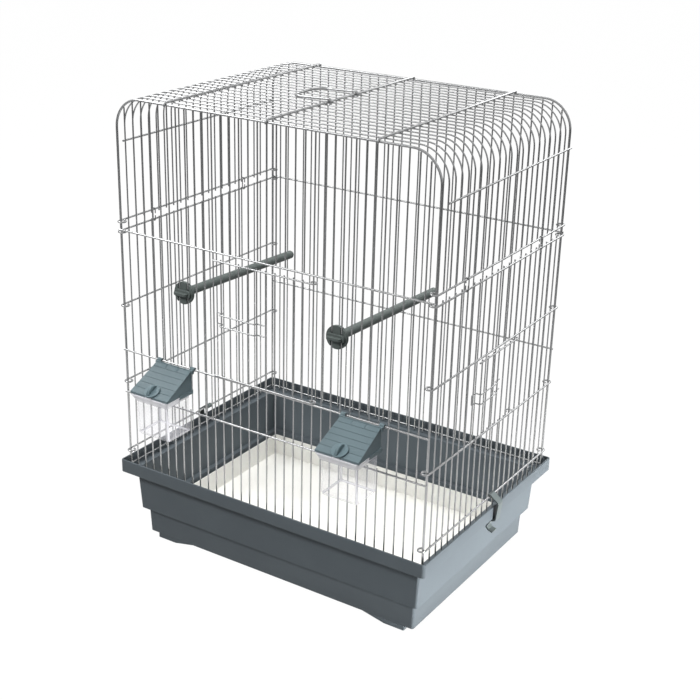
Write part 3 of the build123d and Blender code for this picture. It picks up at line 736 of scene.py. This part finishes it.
haze.inputs["To Min"].default_value = 0.05
haze.inputs["To Max"].default_value = 0.14
glassy.links.new(flow.outputs["Fac"], haze.inputs["Value"])
glassy.links.new(haze.outputs["Result"], resin.inputs["Roughness"])
ripple = glassy.nodes.new("ShaderNodeBump")
ripple.inputs["Strength"].default_value = 0.1
ripple.inputs["Distance"].default_value = 0.0002
glassy.links.new(flow.outputs["Fac"], ripple.inputs["Height"])
glassy.links.new(ripple.outputs["Normal"], resin.inputs["Normal"])
slant = glassy.nodes.new("ShaderNodeLayerWeight")
slant.inputs["Blend"].default_value = 0.3
walls = glassy.nodes.new("ShaderNodeMapRange")
walls.inputs["From Min"].default_value = 0.35
walls.inputs["To Min"].default_value = 0.07
walls.inputs["To Max"].default_value = 0.95
glassy.links.new(slant.outputs["Facing"], walls.inputs["Value"])
# Painted highlight: the top lip_depth of the cup, where the real flanged lip stands, is made more opaque in
# the near-white resin. This paints the bright light caught in the thick lip; the resin itself is clear there
# too.
cup_top_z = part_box("left_feeder_cup")[1].z
height = glassy.nodes.new("ShaderNodeSeparateXYZ")
glassy.links.new(spot.outputs["Object"], height.inputs["Vector"])
lip_painted_highlight = glassy.nodes.new("ShaderNodeMapRange")
lip_painted_highlight.inputs["From Min"].default_value = cup_top_z - lip_depth - lip_fade
lip_painted_highlight.inputs["From Max"].default_value = cup_top_z - lip_depth
lip_painted_highlight.inputs["To Max"].default_value = 0.6
glassy.links.new(height.outputs["Z"], lip_painted_highlight.inputs["Value"])
# Painted highlight: where the object-space normal leans off the axes, on the cup's rounded corners and edges,
# the near-white resin is made more opaque. These edges then read as bright lines, standing in for light
# caught there by refraction.
unsigned = glassy.nodes.new("ShaderNodeVectorMath")
unsigned.operation = "ABSOLUTE"
glassy.links.new(spot.outputs["Normal"], unsigned.inputs[0])
facets = glassy.nodes.new("ShaderNodeSeparateXYZ")
glassy.links.new(unsigned.outputs["Vector"], facets.inputs["Vector"])
flattest = facets.outputs["X"]
for axis in ("Y", "Z"):
    larger = glassy.nodes.new("ShaderNodeMath")
    larger.operation = "MAXIMUM"
    glassy.links.new(flattest, larger.inputs[0])
    glassy.links.new(facets.outputs[axis], larger.inputs[1])
    flattest = larger.outputs[0]
painted_edge_highlight = glassy.nodes.new("ShaderNodeMapRange")
painted_edge_highlight.inputs["From Min"].default_value = 0.97
painted_edge_highlight.inputs["From Max"].default_value = 0.75
painted_edge_highlight.inputs["To Max"].default_value = 0.6
glassy.links.new(flattest, painted_edge_highlight.inputs["Value"])
# The painted lip and edge highlights raise the alpha above that of the clear walls.
clearest = walls.outputs["Result"]
for painted_whitening in (lip_painted_highlight, painted_edge_highlight):
    denser = glassy.nodes.new("ShaderNodeMath")
    denser.operation = "MAXIMUM"
    glassy.links.new(clearest, denser.inputs[0])
    glassy.links.new(painted_whitening.outputs["Result"], denser.inputs[1])
    clearest = denser.outputs[0]
glassy.links.new(clearest, resin.inputs["Alpha"])
for side_name in ("left", "right"):
    node = side_name + "_feeder_lid"
    moulding(node, side_name + "_hood", node, lid_grey, fine_edge)
    node = side_name + "_feeder_cup"
    moulding(node, side_name + "_clear_cup", node, clear, fine_edge)
    node = side_name + "_feeder_knob"
    moulding(node, side_name + "_finned_knob", node, knob_grey, fine_edge)


# Perches: a moulded plastic rod whose grooved disc seats on two front wires. A wing turned a quarter on the
# outside locks it there.
perch_grey = grained_plastic("perch_grey", (0.104, 0.121, 0.116), (0.094, 0.110, 0.105),
                             grain=800.0, rough=0.42, grain_depth=0.00008)
for side_name in ("left", "right"):
    moulding(side_name + "_perch", side_name + "_perch_rod", "cage", perch_grey, fine_edge)
    node = side_name + "_perch_wing"
    moulding(node, side_name + "_locking_wing", node, perch_grey, fine_edge)
